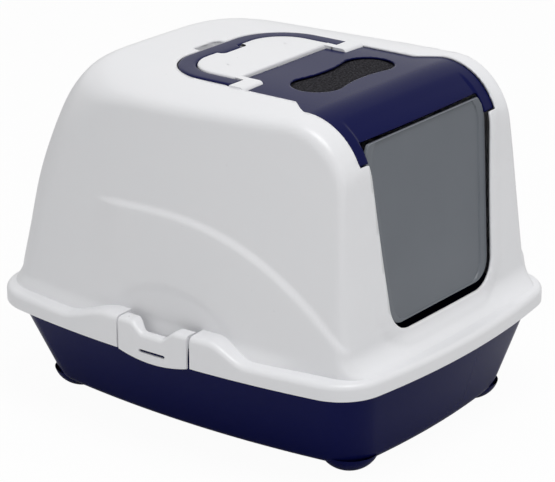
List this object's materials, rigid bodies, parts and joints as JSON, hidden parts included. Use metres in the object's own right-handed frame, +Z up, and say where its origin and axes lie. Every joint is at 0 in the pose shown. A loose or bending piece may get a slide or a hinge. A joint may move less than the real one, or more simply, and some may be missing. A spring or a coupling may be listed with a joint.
{
  "type": "hooded litter box",
  "caption": "Hooded cat litter box: pan, bowed hood, flip-up front lid with filter window, clear swing door, folding carry handle and side latches.",
  "frame": {"origin": "on the floor below the middle of the box", "axes": "+Z up, the door looks towards -Y, X runs across the box"},
  "size_m": [0.416, 0.4998, 0.369],
  "materials": {
    "navy_pan": "polished moulded plastic",
    "white_hood": "polished moulded plastic",
    "navy_lid": "polished moulded plastic",
    "smoky_flap": "smoky clear moulded plastic",
    "navy_handle": "satin moulded plastic",
    "white_latch": "polished moulded plastic",
    "charcoal_foam": "open carbon foam",
    "navy_retainer": "moulded plastic"
  },
  "bodies": {
    "base": {"pan": "navy_pan"},
    "cover": {"hood": "white_hood"},
    "front_lid": {"lid": "navy_lid", "filter_pad": "charcoal_foam", "filter_retainer": "navy_retainer"},
    "door": {"flap": "smoky_flap"},
    "carry": {"handle": "navy_handle"},
    "clip_left": {"latch_left": "white_latch"},
    "clip_right": {"latch_right": "white_latch"}
  },
  "joints": [
    {"name": "hood_lift", "type": "slide", "parent": "base", "child": "cover", "axis": [0, 0, 1], "range_m": [0, 0.25]},
    {"name": "lid_hinge", "type": "hinge", "parent": "cover", "child": "front_lid", "pos_m": [0, -0.031, 0.358], "axis": [-1, 0, 0], "range_deg": [0, 90]},
    {"name": "flap_hinge", "type": "hinge", "parent": "front_lid", "child": "door", "pos_m": [0, -0.182, 0.331], "axis": [1, 0, 0], "range_deg": [-75, 75]},
    {"name": "handle_hinge", "type": "hinge", "parent": "cover", "child": "carry", "pos_m": [0, -0.017, 0.3635], "axis": [1, 0, 0], "range_deg": [0, 90]},
    {"name": "latch_left_hinge", "type": "hinge", "parent": "cover", "child": "clip_left", "pos_m": [-0.2022, -0.004, 0.1335], "axis": [0, 1, 0], "range_deg": [0, 95]},
    {"name": "latch_right_hinge", "type": "hinge", "parent": "cover", "child": "clip_right", "pos_m": [0.2022, -0.004, 0.1335], "axis": [0, -1, 0], "range_deg": [0, 95]}
  ]
}
